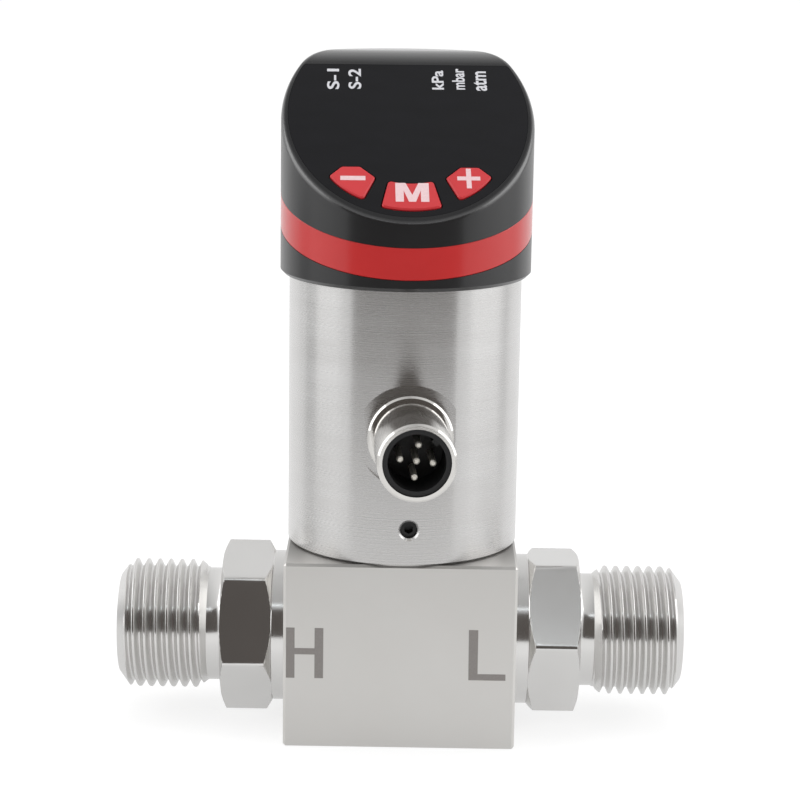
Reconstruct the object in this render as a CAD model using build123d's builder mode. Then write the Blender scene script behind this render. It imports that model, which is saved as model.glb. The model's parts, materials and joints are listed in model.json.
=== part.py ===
from build123d import *
import os
from math import cos, radians, sin, sqrt, tan

os.makedirs("parts", exist_ok=True)

# Differential pressure transmitter: a steel manifold block with a high-side and a low-side
# port, a round steel housing locked on top of it, a round cable connector on the housing's
# front, and a swivelling display head with three keys.
# Millimetres. Origin at the centre of the block's underside, +Z up, +X towards the
# low-side port, -Y towards the connector.

# Fits
fit_gap = 0.05
swivel_gap = 0.08
running_gap = 0.3
key_gap = 0.2

# Manifold block, a little narrower and shallower than the housing that stands on it
block_side_inset = 0.15
block_front_inset = 0.55
block_height = 30.0
block_edge = 0.4
port_height = 14.5
spigot_height = 9.5
lead_passage_diameter = 8.0

# Port fittings, with a G 1/2 thread crest as the outside diameter
thread_diameter = 20.955
thread_length = 15.3
thread_end_chamfer = 1.8
thread_end_diameter = 16.2
thread_run_out = 2.9
neck_diameter = 18.3
neck_length = 1.5
hex_across_flats = 24.0
hex_length = 8.2
hex_corner_length = 1.5
hex_face_diameter = 25.2
collar_diameter = 24.4
collar_length = 2.35
shank_diameter = 20.0
port_bore_diameter = 8.0
port_mouth_chamfer = 0.8
high_side_hex_angle = 19.0
low_side_hex_angle = 34.0
port_seal_section = 1.2

# Differential pressure cell
cell_diameter = 19.0
cell_length = 17.0
cell_waist_depth = 0.5
cell_waist_length = 6.0
diaphragm_diameter = 15.4
diaphragm_thickness = 0.2
diaphragm_wave = 0.25
diaphragm_steps = 4
diaphragm_recess = 0.9
cell_flat_drop = 0.6
cell_pin_diameter = 0.6
cell_pin_length = 3.0
cell_pin_circle = 4.4
cell_pin_count = 5

# Housing tube
housing_diameter = 36.9
housing_wall = 2.4
housing_visible_height = 43.4
housing_turn = 3.64
housing_edge = 0.3
housing_seal_section = 1.2
housing_seal_height = 2.4
seal_groove_width = 1.6

# Locking screw
screw_height = 5.8
screw_diameter = 2.6
screw_length = 2.1
screw_recess = 0.9
screw_socket = 1.3
screw_socket_depth = 1.1
screw_mouth_chamfer = 0.35
lock_groove_width = 3.4
lock_groove_depth = 0.8

# Cable connector
connector_height = 20.6
spotface_diameter = 16.4
spotface_depth = 1.4
flange_diameter = 13.3
flange_thickness = 2.2
barrel_diameter = 11.9
barrel_length = 15.8
barrel_chamfer = 0.3
stem_diameter = 11.0
stem_length = 6.4
insert_diameter = 10.2
insert_length = 10.5
insert_recess = 0.35
insert_tail_diameter = 8.4
contact_well_diameter = 8.7
contact_well_depth = 8.0
contact_circle = 5.0
contact_diameter = 1.0
contact_tip_chamfer = 0.2
contact_setback = 1.3
contact_turn_angle = -6.5
contact_count = 4
contact_tail = 2.0
coding_key_angle = 45.0
coding_key_width = 1.1
coding_key_depth = 0.7
connector_seal_section = 0.6
nut_across_flats = 13.4
nut_thickness = 2.4
lead_diameter = 0.8

# Electronics in the housing
holder_thickness = 3.0
holder_slot_depth = 1.5
board_thickness = 1.6
board_edge_gap = 0.78
board_setback = 3.0
board_shoulder_width = 1.6
ribbon_width = 6.0
ribbon_thickness = 0.6
ribbon_bend = 1.6
ribbon_landing = 4.0
chip_size = 7.0
chip_height = 1.2
capacitor_diameter = 5.0
capacitor_length = 6.5
socket_width = 6.0
socket_height = 5.0

# Swivel
collar_ring_height = 8.0
collar_step = 0.6
collar_wall = 4.65
snap_lip_height = 3.6
snap_undercut = 1.1
snap_bead = 0.7
swivel_tube_wall = 2.4
finger_slot_width = 1.4
finger_count = 4
stop_pocket_setback = 1.3
stop_pocket_width = 2.1
stop_pocket_depth = 2.0
stop_lug_height = 1.6
stop_lug_half_angle = 6.0
swivel_half_travel = 165.0
stop_slack_angle = 0.7
swivel_seal_section = 0.9

# Display head
head_diameter = 39.8
head_height = 33.85
head_turn = 2.8
skirt_overlap = 0.8
skirt_gap = 0.25
skirt_chamfer = 0.6
floor_thickness = 2.0
ring_front_start = 1.8
ring_front_width = 5.0
ring_bottom_tilt = 15.9
ring_top_tilt = 17.1
ring_thickness = 1.5
ring_edge = 0.12
upstand_wall = 1.25
upstand_lap = 1.2
face_front_height = 10.6
face_tilt = 36.0
nose_radius = 10.0
rim_radius = 0.9
cover_wall = 1.5
roof_thickness = 2.6

# Window and keys. Seen from above, a key's corners lie some way inside the window's edge, at
# an angle from the front
window_margin = 1.1
window_thickness = 1.2
window_top_edge = 11.6
window_corner = 1.0
key_proud = 0.3
key_corner = 0.5
key_edge = 0.2
key_travel = 0.5
key_slack = 0.1
key_flange = 0.6
key_flange_thickness = 0.6
key_stem_diameter = 2.4
mode_key_inset = 1.1
mode_key_length = 4.7
mode_key_outer_angle = 15.0
mode_key_inner_angle = 15.2
side_key_insets = (5.65, 6.14, 4.25, 1.7, 1.39)
side_key_angles = (24.3, 37.5, 46.3, 46.6, 24.8)
side_key_bow_inset = 1.4
side_key_bow_angle = 35.5
side_key_centre_inset = 3.85
side_key_centre_angle = 35.6

# Display electronics
display_board_depth = 5.4
display_board_thickness = 1.2
display_board_rear_edge = 12.4
display_width = 25.0
display_depth = 11.0
display_centre = -2.0
display_air = 0.3
display_window_gap = 0.2
light_positions = (-11.6, -8.1, 5.2, 8.5, 12.0)
light_row = 6.2
light_width = 1.4
light_height = 1.0
light_hole_diameter = 1.8
switch_size = 4.4
switch_body_height = 0.8
switch_plunger_diameter = 1.8
switch_plunger_height = 0.3
boss_diameter = 3.2
boss_side_inset = 1.6
boss_side_row = -2.0
boss_rear_inset = 2.0
boss_screw_diameter = 1.6
boss_screw_head_diameter = 2.8
boss_screw_head_height = 1.0
boss_screw_grip = 2.4
display_lead_diameter = 2.6
lead_hole_diameter = 6.0

# Heights and radii that follow from the sizes above
housing_radius = housing_diameter / 2
bore_radius = housing_radius - housing_wall
spigot_radius = bore_radius - fit_gap
spigot_top = block_height + spigot_height
skirt_bottom = block_height + housing_visible_height
housing_top = skirt_bottom + skirt_overlap
floor_bottom = housing_top + running_gap
floor_top = floor_bottom + floor_thickness
head_radius = head_diameter / 2
head_top = skirt_bottom + head_height
ring_inner_radius = head_radius - ring_thickness
upstand_radius = ring_inner_radius - fit_gap
display_board_radius = upstand_radius - upstand_wall - running_gap
window_radius = head_radius - window_margin
boss_spread = display_board_radius - boss_side_inset
boss_positions = (
    (-boss_spread, boss_side_row),
    (boss_spread, boss_side_row),
    (0, display_board_rear_edge - boss_rear_inset),
)
face_height = skirt_bottom + face_front_height + head_radius * tan(radians(face_tilt))
ring_bottom_height = skirt_bottom + ring_front_start + head_radius * tan(radians(ring_bottom_tilt))
ring_top_height = (
    skirt_bottom + ring_front_start + ring_front_width + head_radius * tan(radians(ring_top_tilt))
)
connector_axis_height = block_height + connector_height
spotface_distance = housing_radius - spotface_depth
barrel_end = spotface_distance + flange_thickness + barrel_length
collar_bottom = housing_top - collar_ring_height
block_width = housing_diameter - 2 * block_side_inset
block_depth = housing_diameter - 2 * block_front_inset
fitting_start = block_width / 2

# Axes of the housing and of the head, which each stand a little turned on the block
upper = Plane.XY.rotated((0, 0, housing_turn))
upper_side = Plane(origin=(0, 0, 0), x_dir=upper.y_dir, z_dir=upper.x_dir)
head_level = Plane.XY.rotated((0, 0, head_turn))
head_side = Plane(origin=(0, 0, 0), x_dir=head_level.y_dir, z_dir=head_level.x_dir)
vertical_axis = Axis.Z


def slanted_plane(height, tilt):
    """Plane across the head's axis at a height, rising to the rear by the tilt."""
    return Plane(head_level.location * Location((0, 0, height), (tilt, 0, 0)))


def front_plane(distance, height):
    """Upright plane in front of the housing's axis, facing the front."""
    origin = upper.from_local_coords((0, -distance, height))
    return Plane(origin=origin, x_dir=upper.x_dir, z_dir=-upper.y_dir)


face_plane = slanted_plane(face_height, face_tilt)


def finish(part, name):
    """Names a finished piece and writes its file."""
    part.label = name
    export_step(part, f"parts/{name}.step")


def ring_seal(plane, axis, ring_radius, section):
    """Square-cut rubber ring about an axis, for a groove as wide and deep as its section."""
    with BuildPart() as seal:
        with BuildSketch(plane):
            with Locations((ring_radius, 0)):
                Rectangle(section - fit_gap, section - fit_gap)
        revolve(axis=axis)
    return seal.part


# Manifold block: cross bore for the cell, a socket for each fitting, a spigot for the housing
cell_bore_radius = cell_diameter / 2 + fit_gap
socket_radius = shank_diameter / 2 + fit_gap
lock_groove_height = block_height + screw_height
housing_seal_level = block_height + housing_seal_height
housing_seal_radius = spigot_radius - housing_seal_section / 2
with BuildPart() as manifold_block:
    with BuildSketch(Plane.XY):
        Rectangle(block_width, block_depth)
    extrude(amount=block_height)
    chamfer(manifold_block.edges(), block_edge)
    with BuildSketch(Plane.XY.offset(block_height)):
        Circle(spigot_radius)
    extrude(amount=spigot_height)
    chamfer(manifold_block.edges().group_by(Axis.Z)[-1], block_edge)
    for height, width, depth in (
        (housing_seal_level, seal_groove_width, housing_seal_section),
        (lock_groove_height, lock_groove_width, lock_groove_depth),
    ):
        with BuildSketch(Plane.XY.offset(height - width / 2)):
            Circle(spigot_radius)
            Circle(spigot_radius - depth, mode=Mode.SUBTRACT)
        extrude(amount=width, mode=Mode.SUBTRACT)
    with BuildSketch(Plane.YZ.offset(-block_width / 2)):
        with Locations((0, port_height)):
            Circle(cell_bore_radius)
    extrude(amount=block_width, mode=Mode.SUBTRACT)
    for socket_start in (-block_width / 2, cell_length / 2):
        with BuildSketch(Plane.YZ.offset(socket_start)):
            with Locations((0, port_height)):
                Circle(socket_radius)
        extrude(amount=(block_width - cell_length) / 2, mode=Mode.SUBTRACT)
    with BuildSketch(Plane.XY.offset(port_height)):
        Circle(lead_passage_diameter / 2)
    extrude(amount=spigot_top - port_height, mode=Mode.SUBTRACT)
finish(manifold_block.part, "manifold_block")


# Port fittings: shank in the block, collar, hexagon, neck and plain threaded end
def port_fitting(side, hex_angle):
    """One turned fitting on the side +1 or -1, its front flat leaning up by hex_angle."""
    section = Plane(origin=(0, 0, port_height), x_dir=(side, 0, 0), z_dir=(0, -side, 0))
    port_axis = Axis((0, 0, port_height), (side, 0, 0))
    shank_start = cell_length / 2 + port_seal_section
    hex_start = fitting_start + collar_length
    hex_end = hex_start + hex_length
    thread_start = hex_end + neck_length
    thread_end = thread_start + thread_length
    neck_radius = neck_diameter / 2
    crest_radius = thread_diameter / 2
    end_radius = thread_end_diameter / 2
    corner_radius = hex_across_flats / sqrt(3)
    face_radius = hex_face_diameter / 2
    with BuildPart() as fitting:
        hex_plane = Plane(
            origin=(side * hex_start, 0, port_height), x_dir=(0, side, 0), z_dir=(side, 0, 0)
        )
        with BuildSketch(hex_plane):
            RegularPolygon(
                radius=hex_across_flats / 2,
                side_count=6,
                major_radius=False,
                rotation=30 - side * hex_angle,
            )
        extrude(amount=hex_length)
        with BuildSketch(section):
            with BuildLine():
                Polyline(
                    (hex_start, 0),
                    (hex_start, face_radius),
                    (hex_start + hex_corner_length, corner_radius),
                    (hex_end - hex_corner_length, corner_radius),
                    (hex_end, face_radius),
                    (hex_end, 0),
                    close=True,
                )
            make_face()
        revolve(axis=port_axis, mode=Mode.INTERSECT)
        with BuildSketch(section):
            with BuildLine():
                Polyline(
                    (shank_start, 0),
                    (shank_start, shank_diameter / 2),
                    (fitting_start, shank_diameter / 2),
                    (fitting_start, collar_diameter / 2),
                    (hex_start, collar_diameter / 2),
                    (hex_start, neck_radius),
                    (thread_start, neck_radius),
                    (thread_start + thread_run_out, crest_radius),
                    (thread_end - thread_end_chamfer, crest_radius),
                    (thread_end, end_radius),
                    (thread_end, 0),
                    close=True,
                )
            make_face()
        revolve(axis=port_axis)
        with BuildSketch(section):
            with BuildLine():
                Polyline(
                    (shank_start, 0),
                    (shank_start, port_bore_diameter / 2),
                    (thread_end - port_mouth_chamfer, port_bore_diameter / 2),
                    (thread_end, port_bore_diameter / 2 + port_mouth_chamfer),
                    (thread_end, 0),
                    close=True,
                )
            make_face()
        revolve(axis=port_axis, mode=Mode.SUBTRACT)
    return fitting.part


finish(port_fitting(-1, high_side_hex_angle), "high_side_fitting")
finish(port_fitting(1, low_side_hex_angle), "low_side_fitting")

# Rubber rings that seal each fitting's inner end on the cell
port_axis_line = Axis((0, 0, port_height), (1, 0, 0))
port_seal_radius = cell_diameter / 2 - port_seal_section / 2
for side, name in ((-1, "high_side_seal"), (1, "low_side_seal")):
    seal_place = side * (cell_length + port_seal_section) / 2
    seal_plane = Plane(origin=(seal_place, 0, port_height), x_dir=(0, 0, 1), z_dir=(0, 1, 0))
    finish(ring_seal(seal_plane, port_axis_line, port_seal_radius, port_seal_section), name)

# Differential pressure cell, with a recess at each end and a flat for its pins
with BuildPart() as sensor_cell:
    with BuildSketch(Plane.YZ.offset(-cell_length / 2)):
        with Locations((0, port_height)):
            Circle(cell_diameter / 2)
    extrude(amount=cell_length)
    with BuildSketch(Plane.YZ.offset(-cell_waist_length / 2)):
        with Locations((0, port_height)):
            Circle(cell_diameter / 2)
            Circle(cell_diameter / 2 - cell_waist_depth, mode=Mode.SUBTRACT)
    extrude(amount=cell_waist_length, mode=Mode.SUBTRACT)
    for recess_start in (-cell_length / 2, cell_length / 2 - diaphragm_recess):
        with BuildSketch(Plane.YZ.offset(recess_start)):
            with Locations((0, port_height)):
                Circle(diaphragm_diameter / 2 + fit_gap)
        extrude(amount=diaphragm_recess, mode=Mode.SUBTRACT)
    with BuildSketch(Plane.XY.offset(port_height + cell_diameter / 2 - cell_flat_drop)):
        Rectangle(cell_length, cell_diameter)
    extrude(amount=cell_diameter, mode=Mode.SUBTRACT)
finish(sensor_cell.part, "sensor_cell")


# Corrugated steel discs that part the process from the cell's oil
def diaphragm(side):
    """One thin waved disc on the floor of the cell's recess, on the side +1 or -1."""
    section = Plane(origin=(0, 0, port_height), x_dir=(side, 0, 0), z_dir=(0, -side, 0))
    floor = cell_length / 2 - diaphragm_recess
    edge = diaphragm_diameter / 2
    rear = [
        (floor + diaphragm_wave * (step % 2), edge * (1 - step / diaphragm_steps))
        for step in range(diaphragm_steps + 1)
    ]
    front = [(across + diaphragm_thickness, radius) for across, radius in rear]
    with BuildPart() as disc:
        with BuildSketch(section):
            with BuildLine():
                Polyline(*rear, *reversed(front), close=True)
            make_face()
        revolve(axis=Axis((0, 0, port_height), (side, 0, 0)))
    return disc.part


finish(diaphragm(-1), "high_side_diaphragm")
finish(diaphragm(1), "low_side_diaphragm")

# Pins of the cell and the ribbon that leads up from them
cell_flat_height = port_height + cell_diameter / 2 - cell_flat_drop
with BuildPart() as sensor_pins:
    with BuildSketch(upper.offset(cell_flat_height)):
        with GridLocations(cell_pin_circle / (cell_pin_count - 1), 0, cell_pin_count, 1):
            Circle(cell_pin_diameter / 2)
    extrude(amount=cell_pin_length)
finish(sensor_pins.part, "sensor_pins")

holder_top = spigot_top + holder_thickness
ribbon_end = holder_top + ribbon_landing
half_ribbon = ribbon_thickness / 2
with BuildPart() as sensor_ribbon:
    with BuildSketch(upper_side) as ribbon_profile:
        with BuildLine():
            Polyline(
                (-half_ribbon, cell_flat_height + cell_pin_length),
                (-half_ribbon, ribbon_end + half_ribbon),
                (board_setback, ribbon_end + half_ribbon),
                (board_setback, ribbon_end - half_ribbon),
                (half_ribbon, ribbon_end - half_ribbon),
                (half_ribbon, cell_flat_height + cell_pin_length),
                close=True,
            )
        make_face()
        corners = ribbon_profile.vertices().group_by(Axis.Y)
        fillet(corners[-1].sort_by(Axis.X)[0], ribbon_bend + half_ribbon)
        fillet(corners[-2].sort_by(Axis.X)[0], ribbon_bend - half_ribbon)
    extrude(amount=ribbon_width / 2, both=True)
finish(sensor_ribbon.part, "sensor_ribbon")

# Housing tube: turned from bar, with a spot-faced hole for the connector at the front
collar_seat_radius = bore_radius + collar_step
with BuildPart() as housing_tube:
    with BuildSketch(upper_side):
        with BuildLine():
            Polyline(
                (bore_radius, block_height),
                (housing_radius, block_height),
                (housing_radius, housing_top),
                (collar_seat_radius, housing_top),
                (collar_seat_radius, collar_bottom),
                (bore_radius, collar_bottom),
                close=True,
            )
        make_face()
    revolve(axis=vertical_axis)
    chamfer(housing_tube.edges().group_by(Axis.Z)[0].sort_by(SortBy.RADIUS)[-1], housing_edge)
    with BuildSketch(front_plane(spotface_distance, connector_axis_height)):
        Circle(spotface_diameter / 2)
    extrude(amount=housing_radius, mode=Mode.SUBTRACT)
    with BuildSketch(front_plane(spotface_distance, connector_axis_height)):
        Circle(stem_diameter / 2 + fit_gap)
    extrude(amount=-spotface_distance, mode=Mode.SUBTRACT)
    with BuildSketch(front_plane(0, block_height + screw_height)):
        Circle(screw_diameter / 2 + fit_gap)
    extrude(amount=housing_diameter, mode=Mode.SUBTRACT)
    with BuildSketch(front_plane(housing_radius, block_height + screw_height)):
        Circle(screw_diameter / 2 + fit_gap + screw_mouth_chamfer)
    extrude(amount=-screw_mouth_chamfer, taper=45, mode=Mode.SUBTRACT)
finish(housing_tube.part, "housing_tube")

housing_seal = ring_seal(
    Plane(origin=(0, 0, housing_seal_level), x_dir=(1, 0, 0), z_dir=(0, -1, 0)),
    vertical_axis,
    housing_seal_radius,
    housing_seal_section,
)
finish(housing_seal, "housing_seal")

# Grub screw that locks the housing on the block's spigot
with BuildPart() as locking_screw:
    with BuildSketch(front_plane(housing_radius - screw_recess, block_height + screw_height)):
        Circle(screw_diameter / 2)
    extrude(amount=-screw_length)
    with BuildSketch(front_plane(housing_radius - screw_recess, block_height + screw_height)):
        RegularPolygon(radius=screw_socket / 2, side_count=6, major_radius=False, rotation=30)
    extrude(amount=-screw_socket_depth, mode=Mode.SUBTRACT)
finish(locking_screw.part, "locking_screw")

# Cable connector: turned shell, rubber ring, moulded insert, contacts and inner nut
connector_section = Plane(
    origin=(0, 0, connector_axis_height), x_dir=-upper.y_dir, z_dir=-upper.x_dir
)
connector_axis = Axis(connector_section.origin, connector_section.x_dir)
flange_end = spotface_distance + flange_thickness
stem_start = spotface_distance - stem_length
insert_start = barrel_end - insert_recess - insert_length
seal_radius_on_flange = (stem_diameter + flange_diameter) / 4
with BuildPart() as connector_shell:
    with BuildSketch(connector_section):
        with BuildLine():
            Polyline(
                (stem_start, insert_tail_diameter / 2 + fit_gap),
                (stem_start, stem_diameter / 2),
                (spotface_distance, stem_diameter / 2),
                (spotface_distance, seal_radius_on_flange - connector_seal_section / 2),
                (
                    spotface_distance + connector_seal_section,
                    seal_radius_on_flange - connector_seal_section / 2,
                ),
                (
                    spotface_distance + connector_seal_section,
                    seal_radius_on_flange + connector_seal_section / 2,
                ),
                (spotface_distance, seal_radius_on_flange + connector_seal_section / 2),
                (spotface_distance, flange_diameter / 2),
                (flange_end - barrel_chamfer, flange_diameter / 2),
                (flange_end, flange_diameter / 2 - barrel_chamfer),
                (flange_end, barrel_diameter / 2),
                (barrel_end - barrel_chamfer, barrel_diameter / 2),
                (barrel_end, barrel_diameter / 2 - barrel_chamfer),
                (barrel_end, insert_diameter / 2 + fit_gap),
                (insert_start, insert_diameter / 2 + fit_gap),
                (insert_start, insert_tail_diameter / 2 + fit_gap),
                close=True,
            )
        make_face()
    revolve(axis=connector_axis)
finish(connector_shell.part, "connector_shell")

connector_seal = ring_seal(
    Plane(
        origin=connector_section.from_local_coords(
            (spotface_distance + connector_seal_section / 2, 0, 0)
        ),
        x_dir=connector_section.y_dir,
        z_dir=connector_section.z_dir,
    ),
    connector_axis,
    seal_radius_on_flange,
    connector_seal_section,
)
finish(connector_seal, "connector_seal")

well_floor = barrel_end - insert_recess - contact_well_depth
contact_tip = barrel_end - contact_setback
insert_tail_start = stem_start - running_gap
with BuildPart() as connector_insert:
    with BuildSketch(connector_section):
        with BuildLine():
            Polyline(
                (insert_tail_start, 0),
                (insert_tail_start, insert_tail_diameter / 2),
                (insert_start, insert_tail_diameter / 2),
                (insert_start, insert_diameter / 2),
                (barrel_end - insert_recess, insert_diameter / 2),
                (barrel_end - insert_recess, contact_well_diameter / 2),
                (well_floor, contact_well_diameter / 2),
                (well_floor, 0),
                close=True,
            )
        make_face()
    revolve(axis=connector_axis)
    with BuildSketch(front_plane(well_floor, connector_axis_height)):
        Circle(contact_well_diameter / 2)
        Circle(contact_well_diameter / 2 - coding_key_depth, mode=Mode.SUBTRACT)
        with Locations(Location((0, 0), coding_key_angle)):
            Rectangle(
                contact_well_diameter,
                coding_key_width,
                align=(Align.MIN, Align.CENTER),
                mode=Mode.INTERSECT,
            )
    extrude(amount=contact_well_depth - contact_setback)
    with BuildSketch(front_plane(insert_tail_start, connector_axis_height)):
        Circle(contact_diameter / 2 + fit_gap / 2)
        with PolarLocations(contact_circle / 2, contact_count, start_angle=contact_turn_angle):
            Circle(contact_diameter / 2 + fit_gap / 2)
    extrude(amount=barrel_length + stem_length, mode=Mode.SUBTRACT)
finish(connector_insert.part, "connector_insert")

contact_start = insert_tail_start - contact_tail
with BuildPart() as contact_pins:
    with BuildSketch(front_plane(contact_start, connector_axis_height)):
        Circle(contact_diameter / 2)
        with PolarLocations(contact_circle / 2, contact_count, start_angle=contact_turn_angle):
            Circle(contact_diameter / 2)
    extrude(amount=contact_tip - contact_start)
    tips = contact_pins.edges().filter_by(GeomType.CIRCLE).group_by(Axis(upper.origin, -upper.y_dir))
    chamfer(tips[-1], contact_tip_chamfer)
finish(contact_pins.part, "contact_pins")

nut_corner_radius = nut_across_flats / sqrt(3)
nut_front = sqrt(bore_radius**2 - nut_corner_radius**2) - fit_gap
with BuildPart() as connector_nut:
    with BuildSketch(front_plane(nut_front, connector_axis_height)):
        RegularPolygon(radius=nut_across_flats / 2, side_count=6, major_radius=False)
        Circle(stem_diameter / 2 + fit_gap, mode=Mode.SUBTRACT)
    extrude(amount=-nut_thickness)
finish(connector_nut.part, "connector_nut")

with BuildPart() as connector_leads:
    with BuildSketch(front_plane(contact_start, connector_axis_height)):
        Circle(lead_diameter / 2)
        with PolarLocations(contact_circle / 2, contact_count, start_angle=contact_turn_angle):
            Circle(lead_diameter / 2)
    extrude(amount=-contact_start - board_setback)
finish(connector_leads.part, "connector_leads")

# Main board, upright between a slotted holder on the spigot and slots in the swivel collar
slot_width = board_thickness + 2 * fit_gap
board_rear = board_setback + board_thickness
board_half_width = sqrt(bore_radius**2 - board_rear**2) - board_edge_gap
board_bottom = holder_top - holder_slot_depth
board_top = collar_bottom - running_gap
board_tab_top = collar_bottom + holder_slot_depth
with BuildPart() as board_holder:
    with BuildSketch(upper.offset(spigot_top)):
        Circle(bore_radius - fit_gap)
        Circle(lead_passage_diameter / 2, mode=Mode.SUBTRACT)
    extrude(amount=holder_thickness)
    with BuildSketch(upper.offset(board_bottom)):
        with Locations((0, board_setback + board_thickness / 2)):
            Rectangle(2 * (board_half_width + fit_gap), slot_width)
    extrude(amount=holder_slot_depth, mode=Mode.SUBTRACT)
finish(board_holder.part, "board_holder")

with BuildPart() as main_board:
    with BuildSketch(front_plane(-board_setback, 0)):
        with BuildLine():
            shoulder = board_half_width - board_shoulder_width
            Polyline(
                (-board_half_width, board_bottom),
                (-board_half_width, board_tab_top),
                (-shoulder, board_tab_top),
                (-shoulder, board_top),
                (shoulder, board_top),
                (shoulder, board_tab_top),
                (board_half_width, board_tab_top),
                (board_half_width, board_bottom),
                close=True,
            )
        make_face()
    extrude(amount=-board_thickness)
finish(main_board.part, "main_board")

board_middle = (board_bottom + board_top) / 2
with BuildPart() as board_components:
    with BuildSketch(front_plane(-board_setback, board_middle)):
        with Locations((-chip_size, 0), (chip_size, chip_size / 2)):
            Rectangle(chip_size, chip_size)
    extrude(amount=chip_height)
    with BuildSketch(front_plane(-board_setback - board_thickness, board_middle)):
        with Locations((0, 0), (-chip_size, chip_size / 2)):
            Rectangle(chip_size / 2, chip_size)
    extrude(amount=-chip_height)
    with BuildSketch(front_plane(-board_setback - board_thickness, board_middle)):
        with Locations((chip_size, 0)):
            Circle(capacitor_diameter / 2)
    extrude(amount=-capacitor_length)
finish(board_components.part, "board_components")

socket_top = board_top - socket_height / 2
with BuildPart() as lead_socket:
    with BuildSketch(front_plane(-board_setback, socket_top - socket_height / 2)):
        Rectangle(socket_width, socket_height)
    extrude(amount=board_setback + display_lead_diameter / 2)
finish(lead_socket.part, "lead_socket")

# Swivel collar in the housing's mouth, undercut for the head's snap fingers
swivel_bore_radius = collar_seat_radius - collar_wall
undercut_radius = swivel_bore_radius + snap_undercut
lip_bottom = housing_top - snap_lip_height
stop_pocket_radius = swivel_bore_radius + stop_pocket_setback
web_half_angle = 180 - swivel_half_travel - stop_lug_half_angle - stop_slack_angle
collar_radius = collar_seat_radius - fit_gap


def stop_sector(half_angle, middle_angle, inner, outer):
    """Ring sector about the swivel's axis."""
    start = middle_angle - half_angle
    with BuildSketch() as sector:
        with BuildLine():
            inner_arc = CenterArc((0, 0), inner, start, 2 * half_angle)
            outer_arc = CenterArc((0, 0), outer, start, 2 * half_angle)
            Line(inner_arc @ 0, outer_arc @ 0)
            Line(inner_arc @ 1, outer_arc @ 1)
        make_face()
    return sector.sketch


with BuildPart() as swivel_collar:
    with BuildSketch(upper_side):
        with BuildLine():
            Polyline(
                (swivel_bore_radius, housing_top),
                (collar_radius, housing_top),
                (collar_radius, collar_bottom),
                (undercut_radius, collar_bottom),
                (undercut_radius, lip_bottom - snap_undercut),
                (swivel_bore_radius, lip_bottom),
                close=True,
            )
        make_face()
    revolve(axis=vertical_axis)
    with BuildSketch(upper.offset(housing_top)):
        pocket_outer = stop_pocket_radius + stop_pocket_width
        add(stop_sector(180 - web_half_angle, -90, stop_pocket_radius, pocket_outer))
    extrude(amount=-stop_pocket_depth, mode=Mode.SUBTRACT)
    with BuildSketch(upper.offset(collar_bottom)):
        with Locations((0, board_setback + board_thickness / 2)):
            Rectangle(2 * (board_half_width + fit_gap), slot_width)
    extrude(amount=holder_slot_depth + fit_gap, mode=Mode.SUBTRACT)
finish(swivel_collar.part, "swivel_collar")

# Head base: skirt over the housing, floor, upstand for the ring and the cover, snap tube
swivel_radius = swivel_bore_radius - swivel_gap
tube_inner_radius = swivel_radius - swivel_tube_wall
bead_radius = swivel_radius + snap_bead
bead_top = lip_bottom - swivel_gap
tube_bottom = collar_bottom + running_gap + holder_slot_depth
seal_level = (housing_top + lip_bottom) / 2
groove_radius = swivel_bore_radius - swivel_seal_section
with BuildPart() as head_base:
    with BuildSketch(upper.offset(skirt_bottom)):
        Circle(head_radius)
    extrude(amount=head_height)
    with BuildSketch(slanted_plane(ring_bottom_height, ring_bottom_tilt)):
        Rectangle(3 * head_diameter, 3 * head_diameter)
    extrude(amount=2 * head_height, mode=Mode.SUBTRACT)
    chamfer(head_base.edges().group_by(Axis.Z)[0], skirt_chamfer)
    with BuildSketch(upper.offset(floor_bottom)):
        Circle(upstand_radius)
    extrude(amount=head_height)
    with BuildSketch(
        slanted_plane(ring_top_height + upstand_lap / cos(radians(ring_top_tilt)), ring_top_tilt)
    ):
        Rectangle(3 * head_diameter, 3 * head_diameter)
    extrude(amount=2 * head_height, mode=Mode.SUBTRACT)
    with BuildSketch(upper.offset(floor_top)):
        Circle(upstand_radius - upstand_wall)
    extrude(amount=head_height, mode=Mode.SUBTRACT)
    with BuildSketch(upper.offset(floor_bottom)):
        Circle(housing_radius + skirt_gap)
    extrude(amount=-head_height, mode=Mode.SUBTRACT)
    with BuildSketch(upper_side):
        with BuildLine():
            Polyline(
                (tube_inner_radius, floor_bottom),
                (swivel_radius, floor_bottom),
                (swivel_radius, seal_level + swivel_seal_section / 2),
                (groove_radius, seal_level + swivel_seal_section / 2),
                (groove_radius, seal_level - swivel_seal_section / 2),
                (swivel_radius, seal_level - swivel_seal_section / 2),
                (swivel_radius, bead_top),
                (bead_radius, bead_top - snap_bead),
                (bead_radius, tube_bottom + snap_bead),
                (swivel_radius, tube_bottom),
                (tube_inner_radius, tube_bottom),
                close=True,
            )
        make_face()
    revolve(axis=vertical_axis)
    with BuildSketch(upper.offset(tube_bottom)):
        with PolarLocations(swivel_radius, finger_count, start_angle=45):
            Rectangle(2 * (swivel_tube_wall + snap_bead), finger_slot_width)
    extrude(amount=bead_top - tube_bottom, mode=Mode.SUBTRACT)
    with BuildSketch(upper.offset(floor_bottom)):
        lug_inner = stop_pocket_radius + running_gap
        lug_outer = stop_pocket_radius + stop_pocket_width - running_gap
        add(stop_sector(stop_lug_half_angle, -90, lug_inner, lug_outer))
    extrude(amount=-stop_lug_height)
    with BuildSketch(upper.offset(floor_bottom)):
        Circle(lead_hole_diameter / 2)
    extrude(amount=floor_thickness, mode=Mode.SUBTRACT)
finish(head_base.part, "head_base")

swivel_seal = ring_seal(
    Plane(origin=(0, 0, seal_level), x_dir=upper.x_dir, z_dir=-upper.y_dir),
    vertical_axis,
    swivel_bore_radius - swivel_seal_section / 2,
    swivel_seal_section,
)
finish(swivel_seal, "swivel_seal")

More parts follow.
